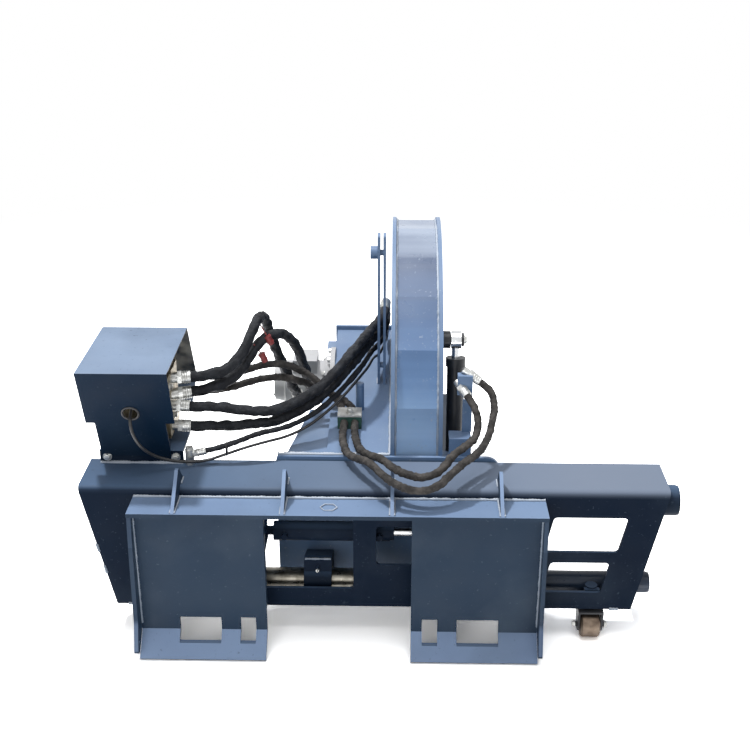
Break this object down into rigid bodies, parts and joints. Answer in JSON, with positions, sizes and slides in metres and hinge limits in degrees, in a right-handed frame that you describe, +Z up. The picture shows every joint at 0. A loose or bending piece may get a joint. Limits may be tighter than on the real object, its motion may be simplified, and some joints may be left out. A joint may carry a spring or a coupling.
{
  "type": "rock wheel trencher",
  "caption": "Skid steer rock wheel trencher: bent plate frame with side-shifting carriage, hooded pick wheel, depth shoe with cylinder, valve cover and hoses.",
  "frame": {"origin": "on the floor, in the plane of the loader attachment plates, midway between their outer edges", "axes": "+X along the frame to the right seen from the loader, +Y away from the loader, +Z up"},
  "size_m": [1.7173, 1.5273, 1.0628],
  "materials": {
    "black_plastic": "matte",
    "black_steel": "gloss black paint",
    "blue_grey_paint": "satin blue grey paint over plate",
    "bronze": "turned bronze",
    "carbide": "forged steel with carbide tips",
    "cast_metal": "light grey paint over casting",
    "chrome_rod": "hard chrome",
    "greased_steel": "bare turned steel with a film of grease",
    "green_plastic": "green clamp plastic",
    "hose_rubber": "black rubber hose in woven sleeve",
    "roller_steel": "dull steel with light rust",
    "wheel_steel": "dark blue grey paint",
    "zinc": "zinc plated"
  },
  "bodies": {
    "frame": {"main_frame": "blue_grey_paint", "frame_end_plates": "blue_grey_paint", "hitch_plates": "blue_grey_paint", "hitch_ribs": "blue_grey_paint", "hitch_side_flanges": "blue_grey_paint", "hitch_top_lip": "blue_grey_paint", "hitch_webs": "blue_grey_paint", "upper_slide_tube": "blue_grey_paint", "lower_slide_bar": "greased_steel", "shift_barrel": "blue_grey_paint", "shift_frame_lug": "blue_grey_paint", "valve_cover": "blue_grey_paint", "valve_bracket": "blue_grey_paint", "valve_block": "cast_metal", "valve_coils": "black_plastic", "bracket_bolts": "zinc", "caster_mount": "blue_grey_paint", "hose_fittings": "zinc"},
    "carriage": {"carriage_plate": "blue_grey_paint", "carriage_gussets": "blue_grey_paint", "lower_sleeves": "blue_grey_paint", "upper_sleeves": "blue_grey_paint", "slide_bushes": "bronze", "shift_rod": "chrome_rod", "shift_carriage_lug": "blue_grey_paint", "hood_left_plate": "blue_grey_paint", "hood_right_plate": "blue_grey_paint", "hood_band": "blue_grey_paint", "arm_top_plate": "blue_grey_paint", "arm_side_plate": "blue_grey_paint", "arm_end_plate": "blue_grey_paint", "gearbox_housing": "cast_metal", "gearbox_bolts": "zinc", "hydraulic_motor": "cast_metal", "motor_fittings": "zinc", "hose_post": "blue_grey_paint", "depth_hood_pin": "black_steel", "shoe_pivot_pins": "black_steel", "supply_hose_a": "hose_rubber", "supply_hose_b": "hose_rubber", "drain_hose": "hose_rubber", "control_cable": "hose_rubber", "motor_hose_a": "hose_rubber", "motor_hose_b": "hose_rubber", "cylinder_hose_a": "hose_rubber", "cylinder_hose_b": "hose_rubber", "hose_ends": "zinc", "hose_clamp": "green_plastic"},
    "rock_wheel": {"wheel_disc": "wheel_steel", "pick_holders": "wheel_steel", "carbide_picks": "carbide", "output_hub": "cast_metal", "wheel_bolts": "zinc"},
    "depth_shoe": {"shoe_sides": "blue_grey_paint", "shoe_soles": "wheel_steel", "shoe_cross_bar": "blue_grey_paint"},
    "depth_barrel": {"depth_barrel": "black_steel"},
    "depth_rod": {"depth_rod": "chrome_rod"},
    "caster_fork": {"caster_fork": "black_steel"},
    "caster_roller": {"caster_roller": "roller_steel"}
  },
  "joints": [
    {"name": "side_shift", "type": "slide", "parent": "frame", "child": "carriage", "axis": [1, 0, 0], "range_m": [-0.08, 0.17], "deforming": ["supply_hose_a", "supply_hose_b", "drain_hose", "control_cable", "motor_hose_a", "motor_hose_b", "cylinder_hose_a", "cylinder_hose_b"]},
    {"name": "rock_wheel_spin", "type": "hinge", "parent": "carriage", "child": "rock_wheel", "pos_m": [0.221, 0.831, 0.488], "axis": [1, 0, 0], "continuous": true},
    {"name": "shoe_tilt", "type": "hinge", "parent": "carriage", "child": "depth_shoe", "pos_m": [0.221, 1.27, 0.4], "axis": [1, 0, 0], "range_deg": [0, 15]},
    {"name": "depth_barrel_swing", "type": "hinge", "parent": "depth_shoe", "child": "depth_barrel", "pos_m": [0.338, 0.39, 0.42], "axis": [1, 0, 0], "range_deg": [-9.5, 0]},
    {"name": "depth_rod_slide", "type": "slide", "parent": "depth_barrel", "child": "depth_rod", "axis": [0, 0.156, 0.9878], "range_m": [0, 0.2256]},
    {"name": "caster_swivel", "type": "hinge", "parent": "frame", "child": "caster_fork", "pos_m": [0.738, 0.112, 0.1], "axis": [0, 0, 1], "continuous": true},
    {"name": "caster_spin", "type": "hinge", "parent": "caster_fork", "child": "caster_roller", "pos_m": [0.738, 0.094, 0.038], "axis": [1, 0, 0], "continuous": true}
  ],
  "couplings": [
    {"joint": "depth_barrel_swing", "follows": "shoe_tilt", "ratio": -0.632},
    {"joint": "depth_rod_slide", "follows": "shoe_tilt", "m_per_rad": 0.861}
  ]
}
